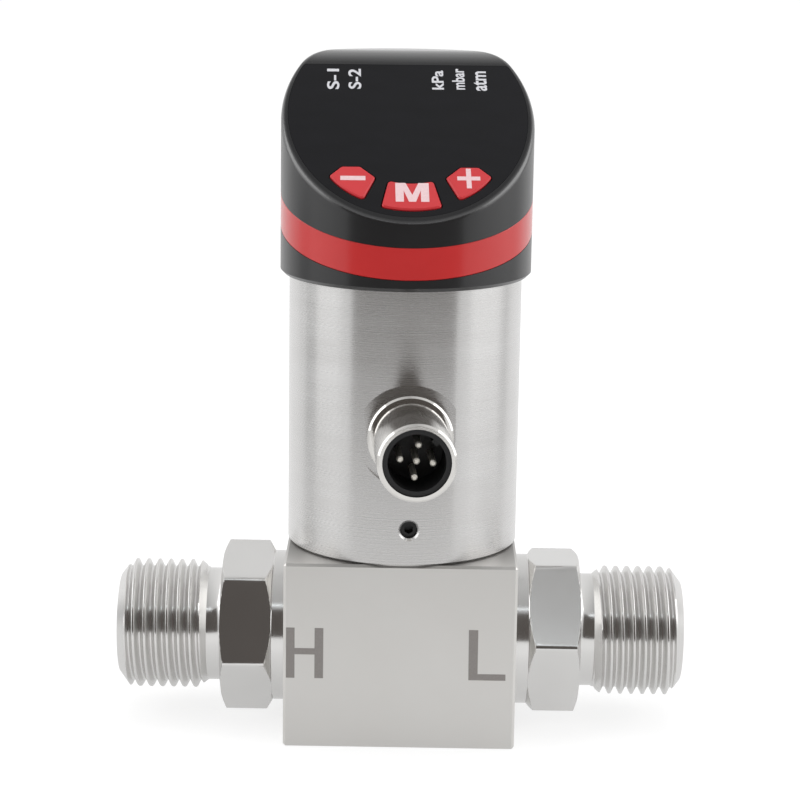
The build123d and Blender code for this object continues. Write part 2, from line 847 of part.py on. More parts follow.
# Coloured ring round the joint of the head, wider at the rear than at the front
with BuildPart() as colour_ring:
    with BuildSketch(upper.offset(skirt_bottom)):
        Circle(head_radius)
        Circle(ring_inner_radius, mode=Mode.SUBTRACT)
    extrude(amount=head_height)
    for height, tilt, way in (
        (ring_bottom_height, ring_bottom_tilt, -1),
        (ring_top_height, ring_top_tilt, 1),
    ):
        with BuildSketch(slanted_plane(height, tilt)):
            Rectangle(3 * head_diameter, 3 * head_diameter)
        extrude(amount=way * 2 * head_height, mode=Mode.SUBTRACT)
    outer_edges = colour_ring.edges().filter_by(lambda edge: edge.length > 6.2 * ring_inner_radius)
    chamfer(outer_edges.sort_by(SortBy.LENGTH)[-2:], ring_edge)
finish(colour_ring.part, "colour_ring")


# Head cover: a round shell under a slanted face that bends over into a flat crown
def roofed_column(radius, drop):
    """Upright column on the ring's top plane, under the roof line lowered by drop."""
    slope = tan(radians(face_tilt))
    slanted_height = face_height - drop / cos(radians(face_tilt))
    crown_height = head_top - drop
    crest_place = (crown_height - slanted_height) / slope
    front_place = (skirt_bottom - slanted_height) / slope
    with BuildPart() as column:
        with BuildSketch(upper.offset(skirt_bottom)):
            Circle(radius)
        extrude(amount=head_height)
        with BuildSketch(head_side) as roof_line:
            with BuildLine():
                Polyline(
                    (front_place, skirt_bottom),
                    (crest_place, crown_height),
                    (head_diameter, crown_height),
                    (head_diameter, skirt_bottom),
                    close=True,
                )
            make_face()
            crest = roof_line.vertices().sort_by_distance((crest_place, crown_height))[0]
            fillet(crest, nose_radius - drop)
        extrude(amount=head_diameter, both=True, mode=Mode.INTERSECT)
        with BuildSketch(slanted_plane(ring_top_height, ring_top_tilt)):
            Rectangle(3 * head_diameter, 3 * head_diameter)
        extrude(amount=-2 * head_height, mode=Mode.SUBTRACT)
    return column.part


def on_wall(edge, radius):
    """True for an edge that lies on the upright cylinder of this radius."""
    middle = edge @ 0.5
    return abs(sqrt(middle.X**2 + middle.Y**2) - radius) < 0.001


def window_outline(growth):
    """Round window outline, cut straight at its upper edge, in the slanted face."""
    radius = window_radius + growth
    with BuildSketch() as outline:
        Ellipse(radius, radius / cos(radians(face_tilt)))
        with Locations((0, window_top_edge + growth)):
            Rectangle(
                3 * head_diameter,
                3 * head_diameter,
                align=(Align.CENTER, Align.MAX),
                mode=Mode.INTERSECT,
            )
        fillet(outline.vertices(), window_corner)
    return outline.sketch


def rim_point(inset, angle):
    """Point of the slanted face, inside the window's edge and turned from the front."""
    radius = window_radius - inset
    along = radius * cos(radians(angle)) / cos(radians(face_tilt))
    return (radius * sin(radians(angle)), -along)


def mode_key_outline(growth):
    """Middle key: a short ring sector at the window's front."""
    inner_inset = mode_key_inset + mode_key_length
    with BuildSketch() as outline:
        with BuildLine():
            outer_arc = ThreePointArc(
                rim_point(mode_key_inset, -mode_key_outer_angle),
                rim_point(mode_key_inset, 0),
                rim_point(mode_key_inset, mode_key_outer_angle),
            )
            inner_arc = ThreePointArc(
                rim_point(inner_inset, mode_key_inner_angle),
                rim_point(inner_inset, 0),
                rim_point(inner_inset, -mode_key_inner_angle),
            )
            Line(outer_arc @ 1, inner_arc @ 0)
            Line(inner_arc @ 1, outer_arc @ 0)
        make_face()
        fillet(outline.vertices(), key_corner)
        offset(amount=growth, kind=Kind.ARC)
    return outline.sketch


def side_key_outline(side, growth):
    """Left or right key: four straight sides and one that follows the rim."""
    corners = zip(side_key_insets, side_key_angles)
    points = [rim_point(inset, side * angle) for inset, angle in corners]
    bow_point = rim_point(side_key_bow_inset, side * side_key_bow_angle)
    with BuildSketch() as outline:
        with BuildLine():
            Polyline(*points[:4])
            ThreePointArc(points[3], bow_point, points[4])
            Line(points[4], points[0])
        make_face()
        fillet(outline.vertices(), key_corner)
        offset(amount=growth, kind=Kind.ARC)
    return outline.sketch


key_outlines = {
    "minus_button": lambda growth: side_key_outline(-1, growth),
    "mode_button": mode_key_outline,
    "plus_button": lambda growth: side_key_outline(1, growth),
}
key_centres = {
    "minus_button": rim_point(side_key_centre_inset, -side_key_centre_angle),
    "mode_button": rim_point(mode_key_inset + mode_key_length / 2, 0),
    "plus_button": rim_point(side_key_centre_inset, side_key_centre_angle),
}
window_floor = face_plane.offset(-window_thickness)
cavity = roofed_column(head_radius - cover_wall, roof_thickness)
with BuildPart() as head_cover:
    add(roofed_column(head_radius, 0))
    upward_faces = head_cover.faces().filter_by(lambda face: face.normal_at().Z > 0.5)
    crown_edges = upward_faces.edges().filter_by(lambda edge: on_wall(edge, head_radius))
    fillet(crown_edges, rim_radius)
    add(cavity, mode=Mode.SUBTRACT)
    with BuildSketch(window_floor):
        add(window_outline(fit_gap))
    extrude(amount=head_height, mode=Mode.SUBTRACT)
    with BuildSketch(window_floor):
        with Locations((0, display_centre)):
            Rectangle(display_width + 2 * display_air, display_depth + 2 * display_air)
        with Locations(*[(across, light_row) for across in light_positions]):
            Circle(light_hole_diameter / 2)
        for outline in key_outlines.values():
            add(outline(key_gap))
    extrude(amount=-roof_thickness, mode=Mode.SUBTRACT)
    with BuildSketch(face_plane.offset(-display_board_depth)):
        with Locations(*boss_positions):
            Circle(boss_diameter / 2)
    extrude(amount=display_board_depth - roof_thickness)
    with BuildSketch(face_plane.offset(-display_board_depth)):
        with Locations(*boss_positions):
            Circle(boss_screw_diameter / 2 + fit_gap)
    extrude(amount=boss_screw_grip + fit_gap, mode=Mode.SUBTRACT)
finish(head_cover.part, "head_cover")

with BuildPart() as window:
    with BuildSketch(window_floor):
        add(window_outline(0))
        for outline in key_outlines.values():
            add(outline(key_gap), mode=Mode.SUBTRACT)
    extrude(amount=window_thickness)
finish(window.part, "window")

# Keys: cap through the window, flange under the roof and a short stem over its switch
flange_top = roof_thickness + key_slack
flange_bottom = flange_top + key_flange_thickness
plunger_top = display_board_depth - switch_body_height - switch_plunger_height
key_stem_length = plunger_top - key_travel - key_slack - flange_bottom
for name, outline in key_outlines.items():
    with BuildPart() as key:
        with BuildSketch(face_plane.offset(-flange_top)):
            add(outline(0))
        extrude(amount=flange_top + key_proud)
        chamfer(key.faces().sort_by(Axis(face_plane.origin, face_plane.z_dir))[-1].edges(), key_edge)
        with BuildSketch(face_plane.offset(-flange_top)):
            add(outline(key_flange))
        extrude(amount=-key_flange_thickness)
        with BuildSketch(face_plane.offset(-flange_bottom)):
            with Locations(key_centres[name]):
                Circle(key_stem_diameter / 2)
        extrude(amount=-key_stem_length)
    finish(key.part, name)

# Display board under the slanted face, with the display, lights, switches and screws
display_board_height = face_height - display_board_depth / cos(radians(face_tilt))
with BuildPart() as display_board:
    with BuildSketch(slanted_plane(display_board_height, face_tilt)):
        half_length = display_board_radius / cos(radians(face_tilt)) - display_board_thickness
        Ellipse(display_board_radius, half_length)
        with Locations((0, display_board_rear_edge)):
            Rectangle(
                3 * head_diameter,
                3 * head_diameter,
                align=(Align.CENTER, Align.MAX),
                mode=Mode.INTERSECT,
            )
    extrude(amount=-display_board_thickness)
    with BuildSketch(face_plane.offset(-display_board_depth)):
        with Locations(*boss_positions):
            Circle(boss_screw_diameter / 2 + fit_gap)
    extrude(amount=-display_board_thickness, mode=Mode.SUBTRACT)
finish(display_board.part, "display_board")

board_face = face_plane.offset(-display_board_depth)
with BuildPart() as display_module:
    with BuildSketch(board_face):
        with Locations((0, display_centre)):
            Rectangle(display_width, display_depth)
    extrude(amount=display_board_depth - window_thickness - display_window_gap)
finish(display_module.part, "display_module")

with BuildPart() as indicator_lights:
    with BuildSketch(board_face):
        with Locations(*[(across, light_row) for across in light_positions]):
            Rectangle(light_width, light_width)
    extrude(amount=light_height)
finish(indicator_lights.part, "indicator_lights")

with BuildPart() as key_switches:
    with BuildSketch(board_face):
        with Locations(*key_centres.values()):
            Rectangle(switch_size, switch_size)
    extrude(amount=switch_body_height)
    with BuildSketch(board_face.offset(switch_body_height)):
        with Locations(*key_centres.values()):
            Circle(switch_plunger_diameter / 2)
    extrude(amount=switch_plunger_height)
finish(key_switches.part, "key_switches")

with BuildPart() as display_screws:
    with BuildSketch(board_face.offset(-display_board_thickness - boss_screw_head_height)):
        with Locations(*boss_positions):
            Circle(boss_screw_head_diameter / 2)
    extrude(amount=boss_screw_head_height)
    with BuildSketch(board_face.offset(-display_board_thickness)):
        with Locations(*boss_positions):
            Circle(boss_screw_diameter / 2)
    extrude(amount=display_board_thickness + boss_screw_grip)
finish(display_screws.part, "display_screws")

# Round lead on the swivel's axis, from the display board down to the main board's socket
lead_bottom = socket_top + running_gap
with BuildPart() as display_lead:
    with BuildSketch(upper.offset(lead_bottom)):
        Circle(display_lead_diameter / 2)
    extrude(amount=face_height - lead_bottom)
    split(bisect_by=board_face.offset(-display_board_thickness), keep=Keep.BOTTOM)
finish(display_lead.part, "display_lead")
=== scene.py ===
import json
from math import cos, pi, radians, sin

import bmesh
import bpy
from mathutils import Matrix, Vector


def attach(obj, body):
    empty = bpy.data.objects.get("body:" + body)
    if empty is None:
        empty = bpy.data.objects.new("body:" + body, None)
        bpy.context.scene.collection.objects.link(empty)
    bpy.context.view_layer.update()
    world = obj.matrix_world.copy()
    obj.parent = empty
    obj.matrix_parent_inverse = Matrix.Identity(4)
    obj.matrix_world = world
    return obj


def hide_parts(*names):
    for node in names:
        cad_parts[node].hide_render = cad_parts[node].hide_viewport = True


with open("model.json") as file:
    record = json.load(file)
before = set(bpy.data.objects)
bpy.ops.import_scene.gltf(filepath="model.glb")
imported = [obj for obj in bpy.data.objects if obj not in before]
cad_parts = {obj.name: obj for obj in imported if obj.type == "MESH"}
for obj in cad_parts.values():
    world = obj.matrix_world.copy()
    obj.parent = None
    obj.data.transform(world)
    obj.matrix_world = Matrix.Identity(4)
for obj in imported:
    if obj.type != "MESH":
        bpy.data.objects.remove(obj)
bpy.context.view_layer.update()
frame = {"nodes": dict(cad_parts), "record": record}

# Lengths of the object are in millimetres where they are named, and in metres in Blender
MM = 0.001
MICRON = 0.000001

# Port fittings: their common axis, and what the lathe leaves on them
port_height = 14.5
shank_start = 9.7
shank_radius = 10.0
collar_start = 18.3
collar_radius = 12.2
hex_start = 20.65
hex_end = 28.85
hex_half_flats = 12.0
hex_face_radius = 12.1
hex_inner_cut = 1.0
hex_outer_cut = 0.65
neck_radius = 9.15
neck_foot = 0.7
neck_foot_rise = 0.42
thread_start = 31.2
thread_end = 45.65
helix_start = 30.15
thread_radius = 10.4775
thread_pitch = 25.4 / 14
thread_depth = 1.162
thread_run_out = 1.7
thread_end_chamfer = 1.8
thread_end_radius = 8.1
bore_radius = 4.0
bore_mouth_chamfer = 0.8
turned_edge = 0.12

# How far each hexagon leans off upright, in degrees
flat_leans = {"high_side": 19.0, "low_side": 34.0}

# How finely the fittings are meshed: steps along the hexagon's cuts, parts of each flat, degrees
# left from there to its corner, how near points are welded, and up to what edge it is smoothed
inner_cut_step = 0.1
outer_cut_step = 0.07
parts_of_flat = 32
corner_strip = 0.5
weld_reach = 0.0005
smooth_angle = 32

# Head: its turn on the block, the slanted face's place, and how far the keys stand out of it
head_turn = 2.8
face_height = 98.458
face_tilt = 36.0
key_proud = 0.3

# Block: its front face, and the painted shade on its top round the housing's foot
block_front = 17.9
foot_shade_inner_radius = 18.0
foot_shade_outer_radius = 24.0

# Signs: half their thickness, and how far the words' strokes are thickened and raised when drawn
sign_thickness = 0.03
stroke_offset = 0.02
stroke_extrude = 0.01


# Camera, where the photograph was taken from, in millimetres and degrees
camera_place = (1.193, -379.426, 135.573)
camera_yaw = -0.271
camera_pitch = -12.352
camera_roll = 0.85
camera_lens = 108.65
camera_sensor = 36


def add_camera():
    """The camera, in the block's frame."""
    data = bpy.data.cameras.new("camera")
    data.lens = camera_lens
    data.sensor_width = camera_sensor
    camera = bpy.data.objects.new("camera", data)
    bpy.context.scene.collection.objects.link(camera)
    camera.matrix_world = (
        Matrix.Translation(Vector(camera_place) * MM)
        @ Matrix.Rotation(radians(-camera_yaw), 4, "Z")
        @ Matrix.Rotation(radians(90 + camera_pitch), 4, "X")
        @ Matrix.Rotation(radians(camera_roll), 4, "Z")
    )
    bpy.context.scene.camera = camera


# Shader maths


class Value:
    """A node's output. Sums, differences, products and powers of it add Math nodes."""

    def __init__(self, finish, socket):
        self.finish = finish
        self.socket = socket

    def worked(self, operation, first, second):
        return self.finish.node("ShaderNodeMath", {"operation": operation}, {0: first, 1: second})

    def __add__(self, other):
        return self.worked("ADD", self, other)

    def __radd__(self, other):
        return self.worked("ADD", other, self)

    def __sub__(self, other):
        return self.worked("SUBTRACT", self, other)

    def __rsub__(self, other):
        return self.worked("SUBTRACT", other, self)

    def __mul__(self, other):
        return self.worked("MULTIPLY", self, other)

    def __rmul__(self, other):
        return self.worked("MULTIPLY", other, self)

    def __pow__(self, other):
        return self.worked("POWER", self, other)


class Finish:
    """A material, or the world, made of nodes."""

    def __init__(self, owner):
        owner.use_nodes = True
        self.owner = owner
        self.tree = owner.node_tree
        self.tree.nodes.clear()

    def node(self, kind, settings=None, sockets=None, output=0):
        """Adds a node: its settings first, then the values or links of its sockets."""
        node = self.tree.nodes.new(kind)
        for name, setting in (settings or {}).items():
            if name == "stops":
                self.set_stops(node.color_ramp, setting)
            else:
                setattr(node, name, setting)
        for name, value in (sockets or {}).items():
            if isinstance(value, Value):
                self.tree.links.new(value.socket, node.inputs[name])
            else:
                node.inputs[name].default_value = value
        return Value(self, node.outputs[output]) if node.outputs else node

    def set_stops(self, ramp, stops):
        while len(ramp.elements) < len(stops):
            ramp.elements.new(1.0)
        for element, (place, tone) in zip(ramp.elements, stops):
            element.position = place
            element.color = tone

    def place(self):
        """Where a point of the piece is, in metres."""
        return self.node("ShaderNodeTexCoord", output=3)

    def parts_of(self, vector):
        """The three numbers of a vector."""
        split = self.node("ShaderNodeSeparateXYZ", sockets={0: vector}).socket.node
        return [Value(self, socket) for socket in split.outputs]

    def stretched(self, vector, across, along, up):
        """A vector with each of its numbers multiplied."""
        return self.node(
            "ShaderNodeVectorMath", {"operation": "MULTIPLY"}, {0: vector, 1: (across, along, up)}
        )

    def noise(self, vector, scale, detail=2.0, roughness=0.5):
        """Soft noise from 0 to 1, with scale as its waves to the metre."""
        return self.node(
            "ShaderNodeTexNoise",
            sockets={
                "Vector": vector, "Scale": scale, "Detail": detail, "Roughness": roughness,
            },
        )

    def lines(self, distance, scale):
        """Fine parallel lines at changing distances, as a cutting tool leaves them."""
        return self.node(
            "ShaderNodeTexNoise",
            {"noise_dimensions": "1D"},
            {"W": distance, "Scale": scale, "Detail": 3.0, "Roughness": 0.65},
        )

    def mixed(self, share, first, second):
        """A colour between two others."""
        return self.node(
            "ShaderNodeMix", {"data_type": "RGBA"}, {0: share, 6: first, 7: second}, output=2
        )

    def bump(self, height, depth):
        """A normal for a height from 0 to 1, with its depth in metres."""
        return self.node(
            "ShaderNodeBump", sockets={"Strength": 1.0, "Distance": depth, "Height": height}
        )

    def finish(self, **sockets):
        """The surface itself, from the sockets that differ from the shader's own."""
        named = {name.replace("_", " "): value for name, value in sockets.items()}
        surface = self.node("ShaderNodeBsdfPrincipled", sockets=named)
        self.node("ShaderNodeOutputMaterial", sockets={"Surface": surface})
        return self.owner


def colour(red, green, blue):
    return (red, green, blue, 1.0)


def new_finish(name):
    return Finish(bpy.data.materials.new(name))


# Metal finishes


def milled_steel():
    """The block's faces: ground satin with a fine even grain, and painted shade on the top round
    the housing's foot.
    """
    made = new_finish("milled_steel")
    place = made.place()
    clouds = made.noise(place, scale=70, detail=3)
    grain = made.noise(made.stretched(place, 1.0, 1.0, 0.25), scale=9000, detail=2)
    across, along = made.parts_of(place)[:2]
    # Painted shade: the top's colour darkens towards the housing's foot, standing in for the
    # shadow there
    painted_foot_shade = made.node(
        "ShaderNodeMapRange",
        sockets={
            "Value": (across * across + along * along) ** 0.5,
            "From Min": foot_shade_inner_radius * MM, "From Max": foot_shade_outer_radius * MM,
            "To Min": 0.8, "To Max": 0.25,
        },
    )
    facing = made.parts_of(made.node("ShaderNodeNewGeometry", output=1))[2]
    clean = made.mixed(clouds, colour(0.69, 0.675, 0.65), colour(0.77, 0.76, 0.74))
    return made.finish(
        # Only faces that look up get the painted shade
        Base_Color=made.mixed(facing * painted_foot_shade, clean, colour(0.13, 0.125, 0.12)),
        Metallic=1.0,
        Roughness=0.34 + 0.1 * grain + 0.06 * clouds,
        Normal=made.bump(grain, 4 * MICRON),
    )


def turned_tube_steel():
    """The housing: turned from bar, with rings that catch the light up and down."""
    made = new_finish("turned_tube_steel")
    place = made.place()
    across, along, up = made.parts_of(place)
    reach = (across * across + along * along) ** 0.5
    rings = made.lines(up + reach, scale=5200)
    clouds = made.noise(made.stretched(place, 1.0, 1.0, 6.0), scale=45, detail=2)
    return made.finish(
        Base_Color=made.mixed(clouds, colour(0.63, 0.62, 0.61), colour(0.71, 0.705, 0.70)),
        Metallic=1.0,
        Roughness=0.2 + 0.09 * rings + 0.05 * clouds,
        Anisotropic=0.75,
        Anisotropic_Rotation=0.25,
        Normal=made.bump(rings, 3.5 * MICRON),
    )


def turned_port_steel():
    """The fittings: bright, with the lathe's rings, and duller on cuts and thread flanks."""
    made = new_finish("turned_port_steel")
    place = made.place()
    across, along, up = made.parts_of(place)
    lifted = up - port_height * MM
    reach = (along * along + lifted * lifted) ** 0.5
    rings = made.lines(across + reach, scale=5600)
    clouds = made.noise(place, scale=90, detail=2)
    sideways = made.parts_of(made.node("ShaderNodeNewGeometry", output=1))[0]
    flank = made.node(
        "ShaderNodeMapRange",
        sockets={
            "Value": (sideways * sideways) ** 0.5, "From Min": 0.3, "From Max": 0.75,
            "To Min": 0.0, "To Max": 0.14,
        },
    )
    return made.finish(
        Base_Color=made.mixed(clouds, colour(0.70, 0.695, 0.68), colour(0.80, 0.79, 0.78)),
        Metallic=1.0,
        Roughness=0.08 + 0.1 * rings + 0.04 * clouds + flank,
        Normal=made.bump(rings, 3 * MICRON),
    )


def nickel_plate():
    """The connector's shell and its inner nut: smooth plate over turned brass."""
    made = new_finish("nickel_plate")
    place = made.place()
    soft = made.noise(place, scale=400, detail=2)
    return made.finish(
        Base_Color=made.mixed(soft, colour(0.70, 0.685, 0.66), colour(0.78, 0.765, 0.74)),
        Metallic=1.0,
        Roughness=0.06 + 0.06 * soft,
        Normal=made.bump(made.noise(place, scale=5000, detail=2), 2 * MICRON),
    )


def plain_metal(name, dark, bright, roughness):
    """Small inner metal pieces: one colour that drifts a little, over fine scratches."""
    made = new_finish(name)
    place = made.place()
    drift = made.noise(place, scale=600, detail=2)
    scratches = made.noise(made.stretched(place, 1.0, 8.0, 1.0), scale=2500, detail=2)
    return made.finish(
        Base_Color=made.mixed(drift, dark, bright),
        Metallic=1.0,
        Roughness=roughness + 0.1 * scratches,
        Normal=made.bump(scratches, 3 * MICRON),
    )


def etched_mark():
    """Letters burnt into the steel: rough, and darker than the face round them."""
    made = new_finish("etched_mark")
    place = made.place()
    specks = made.noise(place, scale=5000, detail=3, roughness=0.7)
    return made.finish(
        Base_Color=made.mixed(specks, colour(0.25, 0.23, 0.22), colour(0.38, 0.36, 0.345)),
        Metallic=0.55,
        Roughness=0.55 + 0.15 * specks,
        Normal=made.bump(specks, 10 * MICRON),
    )


# Plastic, rubber and print


def moulded_plastic(name, dark, bright, roughness, specular=0.5, coat=0.0):
    """Moulded plastic with the fine grain of a spark-eroded mould."""
    made = new_finish(name)
    place = made.place()
    grain = made.noise(place, scale=6500, detail=2, roughness=0.6)
    drift = made.noise(place, scale=120, detail=2)
    return made.finish(
        Base_Color=made.mixed(drift, dark, bright),
        Roughness=roughness + 0.08 * grain + 0.05 * drift,
        Specular_IOR_Level=specular,
        Coat_Weight=coat,
        Coat_Roughness=0.2,
        Normal=made.bump(grain, 6 * MICRON),
    )


def smoked_window():
    """The window: deep gloss with the faintest waves in it."""
    made = new_finish("smoked_window")
    place = made.place()
    wipes = made.noise(made.stretched(place, 1.0, 3.0, 1.0), scale=160, detail=3)
    return made.finish(
        Base_Color=made.mixed(wipes, colour(0.004, 0.004, 0.005), colour(0.007, 0.007, 0.009)),
        Roughness=0.07 + 0.06 * wipes,
        Specular_IOR_Level=0.2,
        Normal=made.bump(made.noise(place, scale=60, detail=1), 10 * MICRON),
    )


# How far a face of the head looks up, and how polished it is there: wall, rim, slant and crown
shell_polish = (
    (0.0, 0.42), (0.15, 0.5), (0.35, 1.0), (0.6, 0.9), (0.74, 0.3), (0.8, 0.03),
    (0.86, 0.45), (0.93, 0.88), (0.98, 0.85),
)


def moulded_shell():
    """The head's black mouldings: satin walls, and a roof as glossy as the window in it."""
    made = new_finish("black_shell")
    place = made.place()
    grain = made.noise(place, scale=6500, detail=2, roughness=0.6)
    drift = made.noise(place, scale=120, detail=2)
    facing = made.parts_of(made.node("ShaderNodeNewGeometry", output=1))[2]
    roof = made.node(
        "ShaderNodeMapRange",
        sockets={"Value": facing, "From Min": 0.3, "From Max": 0.7, "To Min": 0.0, "To Max": 1.0},
    )
    polish = made.node(
        "ShaderNodeValToRGB",
        {"stops": [(share, colour(weight, weight, weight)) for share, weight in shell_polish]},
        {"Fac": facing},
    )
    return made.finish(
        Base_Color=made.mixed(drift, colour(0.007, 0.007, 0.008), colour(0.011, 0.011, 0.012)),
        Roughness=0.34 + 0.08 * grain - 0.22 * roof,
        Specular_IOR_Level=0.25,
        Coat_Weight=polish,
        Coat_Roughness=0.2,
        Coat_IOR=1.9,
        Normal=made.bump(grain * (1 - 0.8 * roof), 6 * MICRON),
    )


def board_lacquer():
    """Circuit board: green lacquer that is lighter over its copper tracks."""
    made = new_finish("board_lacquer")
    place = made.place()
    tracks = made.node(
        "ShaderNodeTexBrick",
        {"offset": 0.37},
        {
            "Vector": place, "Scale": 260.0, "Mortar Size": 0.03,
            "Color1": colour(0.015, 0.13, 0.05), "Color2": colour(0.02, 0.16, 0.06),
            "Mortar": colour(0.04, 0.26, 0.11),
        },
    )
    return made.finish(Base_Color=tracks, Roughness=0.2 + 0.1 * made.noise(place, scale=900))


def printed(name, dark, bright):
    """Printed letters, with a little of what they are printed on showing through."""
    made = new_finish(name)
    place = made.place()
    cover = made.noise(place, scale=4000, detail=2)
    return made.finish(
        Base_Color=made.mixed(cover, dark, bright),
        Roughness=0.5 + 0.1 * cover,
    )


finishes = {
    "satin_steel": milled_steel(),
    "turned_steel": turned_tube_steel(),
    "fitting_steel": turned_port_steel(),
    "thin_steel": plain_metal(
        "thin_steel", colour(0.6, 0.6, 0.6), colour(0.7, 0.7, 0.7), roughness=0.2
    ),
    "screw_steel": plain_metal(
        "screw_steel", colour(0.03, 0.03, 0.03), colour(0.06, 0.06, 0.06), roughness=0.4
    ),
    "nickel_plate": nickel_plate(),
    "gold_contact": plain_metal(
        "gold_contact", colour(0.92, 0.88, 0.78), colour(0.98, 0.95, 0.88), roughness=0.38
    ),
    "black_insulator": moulded_plastic(
        "black_insulator", colour(0.008, 0.008, 0.009), colour(0.013, 0.013, 0.014),
        roughness=0.4
    ),
    "black_shell": moulded_shell(),
    "smoked_window": smoked_window(),
    "red_ring": moulded_plastic(
        "red_ring", colour(0.49, 0.009, 0.009), colour(0.56, 0.013, 0.013),
        roughness=0.36, specular=0.25, coat=1.0
    ),
    "red_key": moulded_plastic(
        "red_key", colour(0.56, 0.020, 0.026), colour(0.64, 0.029, 0.037),
        roughness=0.34, specular=0.4
    ),
    "circuit_board": board_lacquer(),
    "milky_plastic": moulded_plastic(
        "milky_plastic", colour(0.7, 0.7, 0.66), colour(0.8, 0.8, 0.76), roughness=0.3
    ),
    "lead_sheath": moulded_plastic(
        "lead_sheath", colour(0.05, 0.05, 0.055), colour(0.08, 0.08, 0.085), roughness=0.45
    ),
    "seal_rubber": moulded_plastic(
        "seal_rubber", colour(0.010, 0.010, 0.010), colour(0.018, 0.018, 0.018), roughness=0.6
    ),
}
etched = etched_mark()
window_print = printed("window_print", colour(0.56, 0.56, 0.60), colour(0.72, 0.72, 0.75))
key_print = printed("key_print", colour(0.72, 0.48, 0.50), colour(0.88, 0.66, 0.68))


def dress_nodes():
    """Gives each CAD node the finish of its slot in the record."""
    for row in frame["record"]["subparts"]:
        node = frame["nodes"][row["node"]]
        node.data.materials.clear()
        node.data.materials.append(finishes[row["material_slot"]])


# Meshes


def add_piece(name, mesh, finish, body):
    """A new piece of the object, with its finish, riding on a body."""
    mesh.materials.clear()
    mesh.materials.append(finish)
    piece = bpy.data.objects.new(name, mesh)
    bpy.context.scene.collection.objects.link(piece)
    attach(piece, body)
    return piece


def shade_smooth(mesh, angle):
    """Smooth shading, with edges over the angle left sharp."""
    mesh.polygons.foreach_set("use_smooth", [True] * len(mesh.polygons))
    mesh.set_sharp_from_angle(angle=radians(angle))


# Port fittings, as stations along the port's axis, each with a radius for every angle


def turned(radius):
    return lambda angle: radius


def hexed(limit):
    """A hexagon's radius at an angle from the middle of a flat, under the chamfer's limit."""

    def radius(angle):
        off_flat = (angle + pi / 6) % (pi / 3) - pi / 6
        return min(hex_half_flats / cos(off_flat), limit)

    return radius


# One pitch of the thread: share of the pitch, and share of the depth there
thread_form = (
    (0.0, 0.0), (0.06, 0.01), (0.10, 0.05), (0.14, 0.15), (0.25, 0.5), (0.36, 0.85),
    (0.40, 0.95), (0.44, 0.99), (0.50, 1.0), (0.56, 0.99), (0.60, 0.95), (0.64, 0.85),
    (0.75, 0.5), (0.86, 0.15), (0.90, 0.05), (0.94, 0.01),
)


def thread_spot(count, angle):
    """Where a right-hand thread's count-th line is at an angle, and its radius there."""
    pitches, line = divmod(count, len(thread_form))
    share, depth = thread_form[line]
    along = helix_start + (pitches + share + angle / (2 * pi)) * thread_pitch
    along = min(max(along, thread_start), thread_end)
    run_out_limit = neck_radius + (along - thread_start) * (
        (thread_radius - neck_radius) / thread_run_out
    )
    end_limit = thread_end_radius + (thread_end - along) * (
        (thread_radius - thread_end_radius) / thread_end_chamfer
    )
    return along, min(thread_radius - thread_depth * depth, run_out_limit, end_limit)


def steps(first, last, length):
    """Even steps from first to last, of about the length."""
    count = max(1, round(abs(last - first) / length))
    return [first + (last - first) * index / count for index in range(count + 1)]


def fitting_stations():
    """From the thread's end through the bore, and back over the outside to the thread's start."""
    stations = [
        (thread_end, turned(thread_end_radius)),
        (thread_end, turned(bore_radius + bore_mouth_chamfer)),
        (thread_end - bore_mouth_chamfer, turned(bore_radius)),
        (shank_start, turned(bore_radius)),
        (shank_start, turned(shank_radius)),
        (collar_start, turned(shank_radius)),
        (collar_start, turned(collar_radius - turned_edge)),
        (collar_start + turned_edge, turned(collar_radius)),
        (hex_start - turned_edge, turned(collar_radius)),
        (hex_start, turned(collar_radius - turned_edge)),
    ]
    corner_radius = hex_half_flats / cos(pi / 6)
    inner_rise = (corner_radius - hex_face_radius) / hex_inner_cut
    outer_rise = (corner_radius - hex_face_radius) / hex_outer_cut
    stations += [
        (hex_start + place, hexed(hex_face_radius + place * inner_rise))
        for place in steps(0, hex_inner_cut, inner_cut_step)
    ]
    stations += [
        (hex_end - place, hexed(hex_face_radius + place * outer_rise))
        for place in steps(hex_outer_cut, 0, outer_cut_step)
    ]
    stations += [
        (hex_end, turned(neck_radius + neck_foot_rise)),
        (hex_end + neck_foot, turned(neck_radius)),
        (thread_start, turned(neck_radius)),
    ]
    return stations


def round_angles():
    """Angles round the axis: even over each flat, with a narrow strip at each corner."""
    flat_half = pi / 6 - radians(corner_strip)
    off_middle = steps(-flat_half, flat_half, 2 * flat_half / parts_of_flat)
    return [flat * pi / 3 + off for flat in range(6) for off in off_middle]


def add_strip(shaped, ring, after):
    """Faces between two rows of corners."""
    for first, second, third, fourth in zip(ring, ring[1:], after[1:], after):
        shaped.faces.new((first, second, third, fourth))


